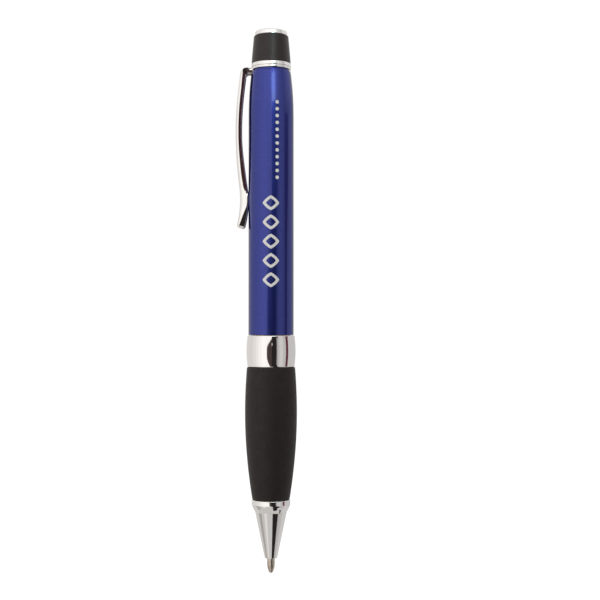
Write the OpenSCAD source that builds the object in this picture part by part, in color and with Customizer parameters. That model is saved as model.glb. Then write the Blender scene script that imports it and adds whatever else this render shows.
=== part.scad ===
// Twist-action ballpoint pen, written point out.
// The pen's axis is Z and its writing point touches z = 0; the clip is on the -X side.
// Turning the upper barrel counter-clockwise, seen from the top, draws the refill in.

/* [Overall] */
// Overall length with the point out
pen_length = 140; // [138:0.5:146]

/* [Nose cone] */
// Height of the cone's open end above the writing point
nose_z = 3.9; // [3.6:0.1:4.4]
// Outer diameter of the open end
nose_tip_d = 3.2; // [3.1:0.1:3.6]
// Bore that guides the refill tip
nose_bore_d = 2.3; // [2.26:0.01:2.4]
// Outer diameter of the straight cone where it meets the collar
cone_top_d = 8.2; // [8:0.1:8.6]
// Height of the line between cone and collar
cone_top_z = 15.9; // [15.6:0.1:16.2]
// Outer diameter of the rounded collar
collar_d = 10; // [9.8:0.1:10.4]

/* [Grip] */
// Height of the grip's lower edge
grip_z = 19.1; // [19:0.1:19.6]
// Height of the grip's upper edge
grip_top_z = 53; // [52:0.5:53]
// Height of the fattest place
grip_waist_z = 41; // [38:0.5:44]
// Largest diameter
grip_d = 13.44; // [12.8:0.1:14]
// Diameter at the lower edge
grip_low_d = 9.68; // [9.4:0.1:9.9]
// Diameter at the upper edge
grip_high_d = 12.44; // [12:0.1:12.6]

/* [Centre band] */
// Height of the band's upper edge, where the pen turns
band_top_z = 61.2; // [61:0.1:62]
// Largest diameter
band_d = 12.68; // [12.4:0.1:13]
// Radius of the bulge, seen from the side
band_bulge_r = 28; // [24:1:40]

/* [Upper barrel] */
// Outer diameter
barrel_d = 11.7; // [11.6:0.1:12]
// Wall thickness
barrel_wall = 0.5; // [0.4:0.05:0.55]
// Height at which the barrel starts to taper
taper_z = 116; // [114:0.5:117]
// How much the radius falls towards the top edge
taper_depth = 0.83; // [0.7:0.01:0.9]

/* [Cap and rings] */
// Height of the barrel's top edge
barrel_top_z = 129.9; // [129.5:0.1:130.2]
// Outer diameter of the two rings
ring_d = 10.3; // [10.2:0.1:10.5]
// Height of the upper edge of the rings
ring_top_z = 131.6; // [131.4:0.1:131.8]
// Diameter of the end cap at its foot
cap_d = 10.14; // [9.8:0.02:10.16]
// Diameter of the end cap below its rounded edge
cap_top_d = 9.04; // [8.8:0.02:9.2]
// Diameter of the finial disc
finial_d = 8.36; // [8:0.1:8.5]
// Height of the finial disc
finial_h = 1.2; // [1:0.1:1.4]

/* [Clip] */
// Width of the clip
clip_w = 3.6; // [3.2:0.1:4]
// Depth of the clip's section at the top
clip_h = 1.62; // [1.5:0.02:1.64]
// Depth of the clip's section at the foot
clip_foot_h = 2.05; // [1.8:0.05:2.1]
// Thickness of the sheet
clip_t = 0.5; // [0.4:0.05:0.6]
// Distance from the pen's axis to the clip's outermost point
clip_reach = 9.2; // [9:0.1:9.6]

/* [Twist mechanism] */
// Turn from point out to point in, in degrees
twist_range = 150; // [120:5:150]
// Travel of the refill
travel = 5.5; // [5:0.1:5.5]
// Diameter of the cross pin
pin_d = 1.5; // [1.2:0.1:1.6]
// Clearance on each side of the pin in its slots
pin_gap = 0.06; // [0.04:0.01:0.1]

/* [Refill and spring] */
// Outer diameter of the refill's body
refill_d = 6; // [5.8:0.1:6]
// Length of the refill, tip to tail
refill_length = 98.1; // [97.8:0.1:98.3]
// Diameter of the ball
ball_d = 1; // [0.8:0.1:1]
// Wire diameter of the return spring
wire_d = 0.4; // [0.35:0.01:0.45]
// Number of coils
spring_turns = 9; // [7:1:10]

/* [Hidden] */
$fn = 96;
eps = 0.01;
slack = 0.02;        // radial room in a fit between two fixed pieces
through = 20;        // length of a cut that goes right through the pen

// lower section
tube_d = 8.6;
tube_bore_d = 7.2;
tube_top_z = 57.4;
collar_z = cone_top_z + 0.05;                 // the collar starts on a fine step
collar_step = 0.08;
collar_h = 2.4;
spigot_top_z = 27;
spigot_bore_d = 6.4;
spigot_bore_z = 15.2;
spring_seat_z = 9.65;
spring_bore_d = 4.5;
spring_bore_top_z = 13.5;
band_z = grip_top_z + 0.1;
band_mid_z = (band_z + band_top_z) / 2;
band_bore_d = 11.2;
flange_top_z = 58.4;
flange_bore_d = 7;
journal_d = 9.7;
journal_top_z = 68;
ring_groove_z = 65.2;
ring_groove_w = 0.7;
ring_groove_d = 8.8;
friction_wire_d = 0.48;

// twist mechanism
housing_d = 8;
housing_bore_d = 6.6;
housing_z = flange_top_z + 0.05;
housing_top_z = 112.5;
cam_z = 98;
cam_top_z = 110;
cam_bore_d = 8.2;
stop_z = 96.6;
stop_d = 9.8;
clip_groove_z = cam_top_z + 0.15;
clip_groove_h = 0.5;
clip_groove_d = 7.4;
retainer_d = 9.6;
retainer_mouth = 5;
pin_z = refill_length + 3.1;
pin_length = 9.9;
slot_w = pin_d + 2 * pin_gap;
slot_over = slot_w / 2;                       // the slots run past the pin's end stops by this
lead = travel / (twist_range * PI / 180);     // rise of the refill per radian

// upper barrel
barrel_z = band_top_z + 0.12;
barrel_bore_d = barrel_d - 2 * barrel_wall;
bush_top_z = 69.5;
plug_z = 119;
plug_top_z = 133;
plug_spigot_d = 6.95;
screw_d = 3;
screw_z = 122;
cap_z = ring_top_z + 0.04;
cap_top_z = pen_length - finial_h - 0.04;
cap_floor_z = 134.2;
cap_shelf_z = 136;
cap_pocket_d = 6.2;
ring_gap_z = barrel_top_z + 0.75;
ring_bore_d = 7.02;
cap_foot_h = 1.6;
head_d = 5.4;
head_h = 1.7;
socket_d = 2.3;
finial_spigot_z = cap_shelf_z + 1.85;

// refill
tip_d = 2.1;
tip_neck_d = 1.86;
tip_nose_d = 1.5;
tip_rim_d = 1.14;
tip_rim_z = 0.36;
tip_crimp_z = 0.95;
tip_nose_z = 1.15;
tip_neck_z = 2.6;
tip_neck_top_z = 4.3;
tip_shank_z = 4.9;
tip_shoulder_z = 9.7;
tip_tail_z = 13.4;
neck_d = 3.2;
neck_bore_d = 1.9;
shoulder_z = 20.05;
tube_wall = 0.3;
refill_bore_d = refill_d - 2 * tube_wall;
ink_top_z = 75;
grease_h = 2.5;
tail_z = 96;
feed_d = 0.5;
plug_depth = 4;
vent_d = 1.2;
crown_cut_h = 1.1;
follower_d = 6.4;
follower_over = 3;
coil_r = 1.9;

// clip: the outer line runs down through these arcs, in the XZ plane
tilt = 6.9;                                   // lean of the arm's straight stretches, degrees
crest_z = 114;
upper_r = 87;
lower_r = 108;
foot_r = 27;
bend_r = clip_h + 0.03;                       // outside of the bend at the root
fillet_r = 0.55;                              // inside of that bend
clip_corner_r = 1.1;
tang_top_z = barrel_top_z + 0.05;
clip_top_z = tang_top_z + 0.55;               // the clip stands level with the lower ring
tang_h = clip_h - (clip_top_z - tang_top_z);
tang_in_x = 3.3;
notch_gap = 0.06;
flex_x = 5.74;
flex_gap = 0.12;
foot_end_a = 15.2;
down = 270;                                   // heading of a line that runs straight down
arm_top = [-clip_reach + upper_r * (1 - cos(tilt)), crest_z + upper_r * sin(tilt)];
arm_low = [-clip_reach + lower_r * (1 - cos(tilt)), crest_z - lower_r * sin(tilt)];
bend_z = clip_top_z - bend_r;
arm_rise = (bend_z + bend_r * sin(tilt) - arm_top[1]) / cos(tilt);
bend_x = arm_top[0] + arm_rise * sin(tilt) + bend_r * cos(tilt);
low_run = 1.5;
foot_start = arm_low + low_run * [sin(tilt), -cos(tilt)];
foot_c = foot_start + foot_r * [-cos(tilt), -sin(tilt)];

// Points of r(z) at n + 1 heights from z0 to z1
function outline(z0, z1, n, r) = [for (i = [0:n]) let (z = z0 + (z1 - z0) * i / n) [r(z), z]];

// A ring or tube with straight walls
module tube(d_out, d_in, z0, z1) {
    translate([0, 0, z0]) difference() {
        cylinder(d = d_out, h = z1 - z0);
        translate([0, 0, -eps]) cylinder(d = d_in, h = z1 - z0 + 2 * eps);
    }
}

// A bore cut from z0 to z1
module bore(d, z0, z1) {
    translate([0, 0, z0]) cylinder(d = d, h = z1 - z0);
}

// ---------------------------------------------------------------- lower section

cone_r = function(z) nose_tip_d / 2
    + (cone_top_d - nose_tip_d) / 2 * (z - nose_z) / (cone_top_z - nose_z);
collar_r = function(z) cone_top_d / 2 + collar_step
    + (collar_d / 2 - cone_top_d / 2 - collar_step) * sin(90 * (z - collar_z) / collar_h);

module nose_cone() {
    edge = 0.15;
    seat_z = grip_z - 0.1;
    color([0.8, 0.8, 0.79]) difference() {
        rotate_extrude() polygon(concat(
            [[0, nose_z], [nose_tip_d / 2 - edge, nose_z]],
            [[cone_r(nose_z + edge), nose_z + edge], [cone_r(cone_top_z), cone_top_z]],
            outline(collar_z, collar_z + collar_h, 12, collar_r),
            [[collar_d / 2, seat_z - edge], [collar_d / 2 - edge, seat_z]],
            [[tube_bore_d / 2 - slack, seat_z], [tube_bore_d / 2 - slack, spigot_top_z]],
            [[0, spigot_top_z]]
        ));
        bore(nose_bore_d, nose_z - 1, spring_seat_z + eps);
        rotate_extrude() polygon([
            [0, spring_seat_z], [spring_bore_d / 2, spring_seat_z],
            [spring_bore_d / 2, spring_bore_top_z], [spigot_bore_d / 2, spigot_bore_z],
            [spigot_bore_d / 2, spigot_top_z + 1], [0, spigot_top_z + 1]
        ]);
    }
}

module lower_barrel() {
    color([0.72, 0.6, 0.35]) tube(tube_d, tube_bore_d, grip_z, tube_top_z);
}

grip_r = function(z) z < grip_waist_z
    ? grip_d / 2 - (grip_d - grip_low_d) / 2 * pow((grip_waist_z - z) / (grip_waist_z - grip_z), 1.9)
    : grip_d / 2 - (grip_d - grip_high_d) / 2 * pow((z - grip_waist_z) / (grip_top_z - grip_waist_z), 2);

module grip_sleeve() {
    edge = 0.25;
    color([0.12, 0.115, 0.11]) rotate_extrude() polygon(concat(
        [[tube_d / 2 + slack, grip_z], [grip_r(grip_z) - edge, grip_z]],
        outline(grip_z + edge, grip_top_z - edge, 40, grip_r),
        [[grip_r(grip_top_z) - edge, grip_top_z], [tube_d / 2 + slack, grip_top_z]]
    ));
}

module centre_band() {
    color([0.86, 0.86, 0.85]) rotate_extrude() intersection() {
        translate([band_d / 2 - band_bulge_r, band_mid_z]) circle(r = band_bulge_r, $fn = 360);
        translate([band_bore_d / 2 + slack, band_z])
            square([band_d, band_top_z - band_z]);
    }
}

module coupler() {
    color([0.72, 0.6, 0.35]) difference() {
        union() {
            bore(band_bore_d, band_z, band_top_z - 0.05);
            bore(journal_d, band_z, journal_top_z);
        }
        bore(tube_d + 2 * slack, band_z - 1, tube_top_z + 0.02);
        bore(flange_bore_d, band_z, journal_top_z);
        bore(housing_d + 2 * slack, flange_top_z, journal_top_z + 1);
        translate([0, 0, ring_groove_z - ring_groove_w / 2]) difference() {
            cylinder(d = journal_d + 2, h = ring_groove_w);
            translate([0, 0, -1]) cylinder(d = ring_groove_d, h = ring_groove_w + 2);
        }
    }
}

// A round-ended slot straight through along Y, between two pin heights
module axial_slot(z0, z1) {
    translate([-slot_w / 2, -through / 2, z0]) cube([slot_w, through, z1 - z0]);
    for (z = [z0, z1]) translate([0, 0, z]) rotate([90, 0, 0])
        cylinder(d = slot_w, h = through, center = true);
}

module mech_housing() {
    color([0.2, 0.2, 0.21]) difference() {
        union() {
            bore(housing_d, housing_z, housing_top_z);
            bore(stop_d, stop_z, cam_z - 0.1);
        }
        bore(housing_bore_d, housing_z - 1, housing_top_z + 1);
        axial_slot(pin_z, pin_z + travel);
        translate([0, 0, clip_groove_z]) difference() {
            cylinder(d = housing_d + 2, h = clip_groove_h);
            translate([0, 0, -1]) cylinder(d = clip_groove_d, h = clip_groove_h + 2);
        }
    }
}

module retaining_ring() {
    color([0.55, 0.56, 0.58]) difference() {
        tube(retainer_d, clip_groove_d + 2 * slack,
            clip_groove_z + 2 * slack, clip_groove_z + clip_groove_h - 2 * slack);
        translate([0, -retainer_mouth / 2, clip_groove_z - 1]) cube([retainer_d, retainer_mouth, 3]);
    }
}

module friction_ring() {
    color([0.1, 0.1, 0.1]) translate([0, 0, ring_groove_z]) rotate_extrude()
        translate([ring_groove_d / 2 + friction_wire_d / 2 + eps, 0]) circle(d = friction_wire_d);
}

// Height of the wire's centre after t turns: closed end coils, even pitch between
spring_z0 = spring_seat_z + wire_d / 2 + 0.03;
spring_z1 = shoulder_z - wire_d / 2 - 0.03;
closed = wire_d * 1.1;
function coil_z(t) =
    t < 1 ? spring_z0 + closed * t
    : t > spring_turns - 1 ? spring_z1 - closed * (spring_turns - t)
    : spring_z0 + closed + (spring_z1 - spring_z0 - 2 * closed) * (t - 1) / (spring_turns - 2);

module return_spring() {
    sides = 8;
    steps = 18;
    rings = spring_turns * steps;
    points = [for (i = [0:rings]) for (j = [0:sides - 1])
        let (a = 360 * i / steps, b = 360 * j / sides, r = coil_r + wire_d / 2 * cos(b))
        [r * cos(a), r * sin(a), coil_z(i / steps) + wire_d / 2 * sin(b)]];
    walls = [for (i = [0:rings - 1]) for (j = [0:sides - 1])
        let (k = (j + 1) % sides)
        [i * sides + j, (i + 1) * sides + j, (i + 1) * sides + k, i * sides + k]];
    ends = [[for (j = [0:sides - 1]) j], [for (j = [sides - 1:-1:0]) rings * sides + j]];
    color([0.7, 0.71, 0.73]) polyhedron(points, concat(walls, ends), convexity = 10);
}

// ---------------------------------------------------------------- upper section

barrel_r = function(z) z < taper_z ? barrel_d / 2
    : barrel_d / 2 - taper_depth * pow((z - taper_z) / (barrel_top_z - taper_z), 2.5);

// The notch at the barrel's top edge that the clip's root passes through
module tang_notch() {
    translate([-barrel_d, -clip_w / 2 - notch_gap, tang_top_z - tang_h - notch_gap])
        cube([barrel_d - tang_in_x + 0.1, clip_w + 2 * notch_gap, 2 * clip_h]);
}

module upper_barrel() {
    edge = 0.15;
    steps = 16;
    inner_r = function(z) barrel_r(z) - barrel_wall;
    inside = outline(taper_z, barrel_top_z, steps, inner_r);
    color([0.16, 0.2, 0.5]) difference() {
        rotate_extrude() polygon(concat(
            [[barrel_d / 2 - barrel_wall, barrel_z], [barrel_d / 2 - edge, barrel_z]],
            [[barrel_d / 2, barrel_z + edge]],
            outline(taper_z, barrel_top_z - edge, steps, barrel_r),
            [[barrel_r(barrel_top_z) - edge, barrel_top_z]],
            [for (i = [steps:-1:0]) inside[i]]
        ));
        tang_notch();
    }
}

module barrel_bush() {
    color([0.25, 0.25, 0.26])
        tube(barrel_bore_d - 2 * slack, journal_d + 0.1, barrel_z + 0.2, bush_top_z);
}

// One helical slot through the cam sleeve, as a slice of disc that turns as it rises
module helical_slot() {
    run = travel + 2 * slot_over;
    per_mm = twist_range / travel;
    half = slot_w / 2 / cos(atan(lead / (cam_bore_d / 2))) / lead * 180 / PI;
    reach = barrel_d;
    translate([0, 0, pin_z - slot_over]) rotate(90 + per_mm * slot_over)
        linear_extrude(height = run, twist = per_mm * run, slices = 48, $fn = 8)
            polygon([[0, 0], for (i = [-2:2]) reach * [cos(half * i / 2), sin(half * i / 2)]]);
}

module cam_sleeve() {
    color([0.85, 0.84, 0.8]) difference() {
        tube(barrel_bore_d - 2 * slack, cam_bore_d, cam_z, cam_top_z);
        for (a = [0, 180]) rotate(a) helical_slot();
    }
}

module top_bush() {
    steps = 10;
    plug_r = function(z) barrel_r(z) - barrel_wall - slack;
    color([0.25, 0.25, 0.26]) difference() {
        rotate_extrude() polygon(concat(
            [[0, plug_z]],
            outline(plug_z, tang_top_z - 0.1, steps, plug_r),
            [[plug_spigot_d / 2, tang_top_z - 0.1], [plug_spigot_d / 2, plug_top_z]],
            [[0, plug_top_z]]
        ));
        bore(screw_d + 2 * slack, plug_z - 1, plug_top_z + 1);
        tang_notch_inside();
    }
}

// The same notch, kept below the rings so that the plug's spigot stays whole
module tang_notch_inside() {
    intersection() {
        tang_notch();
        bore(4 * barrel_d, plug_z, tang_top_z + eps);
    }
}

module clip_ring() {
    color([0.8, 0.8, 0.79]) tube(ring_d, ring_bore_d, tang_top_z + 0.02, ring_gap_z - 0.12);
}

module cap_ring() {
    edge = 0.15;
    step = 0.22;
    z0 = ring_gap_z - 0.1;
    color([0.86, 0.86, 0.85]) rotate_extrude() polygon([
        [ring_bore_d / 2, z0], [ring_d / 2 - step, z0], [ring_d / 2 - step, z0 + 0.1],
        [ring_d / 2 - edge / 2, z0 + 0.1], [ring_d / 2, z0 + 0.1 + edge],
        [ring_d / 2, ring_top_z - edge], [ring_d / 2 - edge, ring_top_z],
        [ring_bore_d / 2, ring_top_z]
    ]);
}

module end_cap() {
    round_r = 0.5;
    side_z = cap_top_z - round_r;
    edge_x = cap_top_d / 2 - round_r;
    color([0.2, 0.185, 0.175]) difference() {
        rotate_extrude() union() {
            polygon([
                [0, cap_z], [cap_d / 2 - 0.1, cap_z], [cap_d / 2, cap_z + 0.1],
                [cap_d / 2 - 0.09, cap_z + cap_foot_h], [cap_top_d / 2, side_z], [0, side_z]
            ]);
            translate([0, side_z - eps]) square([edge_x, round_r + eps]);
            intersection() {
                translate([edge_x, side_z]) circle(r = round_r);
                translate([edge_x - eps, side_z - eps]) square(2 * round_r);
            }
        }
        bore(plug_spigot_d + 2 * slack, cap_z - 1, plug_top_z + 0.1);
        bore(cap_pocket_d, plug_top_z + 0.09, cap_floor_z);
        bore(screw_d + 0.2, cap_floor_z - 1, cap_shelf_z + 1);
        bore(cap_pocket_d, cap_shelf_z, cap_top_z + 1);
    }
}

module cap_screw() {
    color([0.6, 0.61, 0.63]) difference() {
        union() {
            bore(screw_d, screw_z, cap_shelf_z + 1);
            bore(head_d, cap_shelf_z + 0.02, cap_shelf_z + head_h);
        }
        translate([0, 0, cap_shelf_z + head_h - 1]) cylinder(d = socket_d, h = 2, $fn = 6);
    }
}

module finial_disc() {
    round_r = 0.4;
    z0 = pen_length - finial_h;
    color([0.88, 0.88, 0.87]) rotate_extrude() union() {
        translate([0, z0]) square([finial_d / 2 - 0.1, 0.1 + eps]);
        translate([0, z0 + 0.1]) square([finial_d / 2, finial_h - round_r - 0.1]);
        translate([0, z0 + 0.1]) square([finial_d / 2 - round_r, finial_h - 0.1]);
        intersection() {
            translate([finial_d / 2 - round_r, pen_length - round_r]) circle(r = round_r);
            translate([0, z0 + 0.1]) square([finial_d, finial_h]);
        }
        translate([0, finial_spigot_z]) square([cap_pocket_d / 2 - slack, z0 - finial_spigot_z + 0.05]);
    }
}

// ---------------------------------------------------------------- clip

// The clip is a sheet channel, open towards the barrel, swept down its outer line. A stage of
// the sweep is [point of the outer line, heading, depth, distance from the foot's end].
function inward(heading) = [-sin(heading), cos(heading)];

// Stages round an arc about c. A negative radius bends the line away from the barrel.
function bend(c, r, h0, h1, n, depth0, depth1) = [for (i = [0:n])
    let (k = i / n, h = h0 + (h1 - h0) * k)
    [c - r * inward(h), h, depth0 + (depth1 - depth0) * k * k * (3 - 2 * k), foot_w]];

// The bend at the root: its outside turns about bend_c and its inside about fillet_c
bend_c = [bend_x, bend_z];
lean = inward(down - tilt);
fillet_0 = bend_c + (clip_h - bend_r + fillet_r) * lean;
fillet_run = (clip_top_z - clip_h - fillet_r - fillet_0[1]) / sin(down - tilt);
fillet_c = fillet_0 + fillet_run * [cos(down - tilt), sin(down - tilt)];
function corner(h) =
    let (out = bend_c - bend_r * inward(h), v = fillet_c - fillet_r * inward(h) - out)
    [out, atan2(-v[0], v[1]), norm(v), foot_w];

foot_w = clip_w / 2;                          // the foot's end is round over this length
round_h = down - foot_end_a + foot_w / foot_r * 180 / PI;
arm_stages = concat(
    [for (i = [0:10]) corner(down - 90 + (90 - tilt) * i / 10)],
    bend([-clip_reach + upper_r, crest_z], upper_r, down - tilt, down, 10, clip_h, clip_h),
    bend([-clip_reach + lower_r, crest_z], lower_r, down + 1, down + tilt, 10, clip_h, clip_foot_h),
    bend(foot_c, -foot_r, down + tilt, round_h, 12, clip_foot_h, clip_foot_h)
);
end_step = 9.8;                               // degrees; nine steps stop just short of a point
end_stages = [for (i = [1:9])
    let (left = foot_w * (1 - sin(end_step * i)), h = round_h - (foot_w - left) / foot_r * 180 / PI)
    [foot_c + foot_r * inward(h), h, clip_foot_h, left]];

// Outline of the channel's outside at a stage: square at the open side, round outside
function shell_ring(stage) =
    let (half = stage[2] / 2, left = stage[3],
         lift = left < half ? half - sqrt(half * half - pow(half - left, 2)) : 0,
         w = left < foot_w ? sqrt(foot_w * foot_w - pow(foot_w - left, 2)) : foot_w)
    ring(lift, stage[2] - lift, w, min(clip_corner_r, 0.9 * w, 0.9 * (stage[2] - 2 * lift)));

// Outline of its hollow, which runs out past the open side
function hollow_ring(stage) =
    ring(clip_t, stage[2] + 1, foot_w - clip_t, clip_corner_r - clip_t);

// Points [depth, y] round a section from depth u0 to u1, with corners of radius c at u0
function ring(u0, u1, w, c) = concat(
    [[u1, -w], [u1, w]],
    [for (i = [0:5]) [u0 + c - c * sin(18 * i), w - c + c * cos(18 * i)]],
    [for (i = [5:-1:0]) [u0 + c - c * sin(18 * i), -w + c - c * cos(18 * i)]]
);

module sweep(stages, rings) {
    n = len(rings[0]);
    last = len(stages) - 1;
    points = [for (k = [0:last]) for (q = rings[k])
        let (p = stages[k][0] + q[0] * inward(stages[k][1])) [p[0], q[1], p[1]]];
    walls = [for (k = [0:last - 1]) for (j = [0:n - 1]) let (m = (j + 1) % n)
        [k * n + j, k * n + m, (k + 1) * n + m, (k + 1) * n + j]];
    ends = [[for (j = [n - 1:-1:0]) j], [for (j = [0:n - 1]) last * n + j]];
    polyhedron(points, concat(walls, ends), convexity = 8);
}

module clip() {
    root = [[[-flex_x - flex_gap / 2, clip_top_z], 180, clip_h, foot_w]];
    shell = concat(root, arm_stages, end_stages);
    hollow = [for (k = [10:len(arm_stages) - 2]) arm_stages[k]];
    color([0.8, 0.8, 0.79]) difference() {
        sweep(shell, [for (s = shell) shell_ring(s)]);
        sweep(hollow, [for (s = hollow) hollow_ring(s)]);
    }
}

module clip_tang() {
    stages = [for (x = [-tang_in_x, -flex_x + flex_gap / 2]) [[x, tang_top_z], 180, tang_h, foot_w]];
    color([0.8, 0.8, 0.79]) sweep(stages, [for (s = stages) shell_ring(s)]);
}

// ---------------------------------------------------------------- refill

module refill_tip() {
    color([0.7, 0.62, 0.52]) difference() {
        rotate_extrude() polygon([
            [0, tip_rim_z], [tip_rim_d / 2, tip_rim_z], [tip_rim_d / 2 + 0.06, tip_crimp_z],
            [tip_nose_d / 2, tip_nose_z], [tip_neck_d / 2, tip_neck_z],
            [tip_neck_d / 2, tip_neck_top_z], [tip_d / 2, tip_shank_z], [tip_d / 2, tip_shoulder_z],
            [neck_bore_d / 2 - slack, tip_shoulder_z], [neck_bore_d / 2 - slack, tip_tail_z],
            [0, tip_tail_z]
        ]);
        translate([0, 0, ball_d / 2]) sphere(d = ball_d + 2 * slack, $fn = 64);
        bore(feed_d, ball_d / 2, tip_tail_z + 1);
    }
}

module ball() {
    color([0.75, 0.75, 0.76]) translate([0, 0, ball_d / 2]) sphere(d = ball_d, $fn = 64);
}

module refill_tube() {
    color([0.75, 0.76, 0.77]) difference() {
        rotate_extrude() polygon([
            [0, tip_shoulder_z + 0.02], [tip_d / 2, tip_shoulder_z + 0.02],
            [neck_d / 2, tip_shoulder_z + 0.9], [neck_d / 2, shoulder_z],
            [refill_d / 2 - 0.3, shoulder_z], [refill_d / 2, shoulder_z + 0.5],
            [refill_d / 2, tail_z], [0, tail_z]
        ]);
        bore(neck_bore_d, tip_shoulder_z - 1, shoulder_z + 2);
        bore(refill_bore_d, shoulder_z + 1.2, tail_z + 1);
    }
}

module ink_column() {
    color([0.05, 0.07, 0.3]) {
        bore(neck_bore_d - 2 * slack, tip_tail_z + 0.05, shoulder_z + 1.25);
        bore(refill_bore_d - 2 * slack, shoulder_z + 1.22, ink_top_z);
    }
}

module grease_plug() {
    color([0.8, 0.78, 0.68]) bore(refill_bore_d - 2 * slack, ink_top_z + 0.02, ink_top_z + grease_h);
}

// A push-in plug with a castellated tail and a vent
module refill_plug() {
    color([0.9, 0.9, 0.88]) difference() {
        union() {
            bore(refill_bore_d - 2 * slack, tail_z - plug_depth, tail_z + 0.1);
            bore(refill_d, tail_z + 0.02, refill_length);
        }
        bore(vent_d, tail_z - plug_depth - 1, refill_length + 1);
        for (a = [0, 90]) rotate(a)
            translate([-refill_d, -vent_d / 2, refill_length - crown_cut_h])
                cube([2 * refill_d, vent_d, 2 * crown_cut_h]);
    }
}

module follower() {
    color([0.9, 0.55, 0.15]) difference() {
        bore(follower_d, refill_length + 0.03, pin_z + follower_over);
        translate([0, 0, pin_z]) rotate([90, 0, 0])
            cylinder(d = pin_d + 2 * slack, h = through, center = true);
    }
}

module cross_pin() {
    color([0.6, 0.61, 0.63]) translate([0, 0, pin_z]) rotate([90, 0, 0])
        cylinder(d = pin_d, h = pin_length, center = true);
}

nose_cone();
lower_barrel();
grip_sleeve();
centre_band();
coupler();
mech_housing();
retaining_ring();
friction_ring();
return_spring();
upper_barrel();
barrel_bush();
cam_sleeve();
top_bush();
clip_tang();
clip_ring();
cap_ring();
end_cap();
cap_screw();
finial_disc();
clip();
refill_tube();
refill_tip();
ink_column();
grease_plug();
refill_plug();
follower();
cross_pin();
ball();
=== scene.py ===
"""Looks of the twist-action ballpoint pen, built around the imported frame.

Shapes are in mm and multiplied by MM."""
import math

import bmesh
import bpy
from mathutils import Matrix, Vector

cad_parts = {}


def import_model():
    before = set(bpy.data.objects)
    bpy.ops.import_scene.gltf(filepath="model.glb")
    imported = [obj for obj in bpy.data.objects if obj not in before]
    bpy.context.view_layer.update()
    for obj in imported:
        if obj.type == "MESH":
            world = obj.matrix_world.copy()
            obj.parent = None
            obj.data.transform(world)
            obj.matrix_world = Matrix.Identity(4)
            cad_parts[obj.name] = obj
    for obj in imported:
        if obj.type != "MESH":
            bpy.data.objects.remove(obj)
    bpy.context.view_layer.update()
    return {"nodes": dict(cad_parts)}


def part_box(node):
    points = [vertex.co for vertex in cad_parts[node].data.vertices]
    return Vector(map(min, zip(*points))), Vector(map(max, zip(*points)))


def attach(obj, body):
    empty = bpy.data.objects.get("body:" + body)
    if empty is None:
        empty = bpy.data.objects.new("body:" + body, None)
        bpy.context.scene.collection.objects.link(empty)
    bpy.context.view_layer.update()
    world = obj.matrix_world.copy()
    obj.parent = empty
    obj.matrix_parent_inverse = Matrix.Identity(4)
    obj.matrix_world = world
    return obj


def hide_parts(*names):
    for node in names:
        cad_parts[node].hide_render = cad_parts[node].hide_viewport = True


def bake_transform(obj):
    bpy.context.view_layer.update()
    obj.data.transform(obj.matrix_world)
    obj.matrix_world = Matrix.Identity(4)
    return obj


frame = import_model()

MM = 0.001
TURN_STEPS = 224          # faces round a turned piece


def low(node):
    """Lowest height of a CAD node, in mm."""
    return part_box(node)[0].z / MM


def high(node):
    """Greatest height of a CAD node, in mm."""
    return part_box(node)[1].z / MM


def width(node):
    """Diameter of a turned CAD node, in mm."""
    return (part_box(node)[1].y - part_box(node)[0].y) / MM


# ------------------------------------------------------------------ materials

SPREAD = (0.3, 0.7)       # the part of a texture's range that a ramp between two values spreads out


class Nodes:
    """A material's shader with short calls for its textures. Texture scales are per metre."""

    def __init__(self, name, color, metallic=0.0, roughness=0.4, **sockets):
        self.mat = bpy.data.materials.new(name)
        self.mat.use_nodes = True
        self.tree = self.mat.node_tree
        self.shader = self.tree.nodes["Principled BSDF"]
        self.set("Base Color", (*color, 1.0))
        self.set("Metallic", metallic)
        self.set("Roughness", roughness)
        for key, value in sockets.items():
            self.set(key.replace("_", " "), value)
        self.place = self.tree.nodes.new("ShaderNodeTexCoord").outputs["Object"]

    def set(self, socket, value):
        self.shader.inputs[socket].default_value = value

    def link(self, out, into):
        self.tree.links.new(out, into)

    def scaled(self, scale):
        """Object coordinates, stretched by scale along each axis."""
        node = self.tree.nodes.new("ShaderNodeMapping")
        node.inputs["Scale"].default_value = scale
        self.link(self.place, node.inputs["Vector"])
        return node.outputs["Vector"]

    def noise(self, scale, detail=3.0, rough=0.55, stretch=(1, 1, 1)):
        node = self.tree.nodes.new("ShaderNodeTexNoise")
        node.inputs["Scale"].default_value = scale
        node.inputs["Detail"].default_value = detail
        node.inputs["Roughness"].default_value = rough
        self.link(self.scaled(stretch), node.inputs["Vector"])
        return node.outputs["Fac"]

    def cells(self, scale):
        node = self.tree.nodes.new("ShaderNodeTexVoronoi")
        node.inputs["Scale"].default_value = scale
        self.link(self.place, node.inputs["Vector"])
        return node.outputs["Distance"]

    def ramp(self, fac, start, end):
        """Colour that goes from start to end where fac crosses SPREAD."""
        node = self.tree.nodes.new("ShaderNodeValToRGB")
        for stop, at, rgb in zip(node.color_ramp.elements, SPREAD, (start, end)):
            stop.position = at
            stop.color = (*rgb, 1.0)
        self.link(fac, node.inputs["Fac"])
        return node.outputs["Color"]

    def roughness(self, fac, lowest, highest):
        self.link(self.ramp(fac, (lowest,) * 3, (highest,) * 3), self.shader.inputs["Roughness"])

    def color(self, fac, dark, light):
        self.link(self.ramp(fac, dark, light), self.shader.inputs["Base Color"])

    def bump(self, height, strength, distance, onto="Normal"):
        node = self.tree.nodes.new("ShaderNodeBump")
        node.inputs["Strength"].default_value = strength
        node.inputs["Distance"].default_value = distance
        self.link(height, node.inputs["Height"])
        self.link(node.outputs["Normal"], self.shader.inputs[onto])


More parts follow.
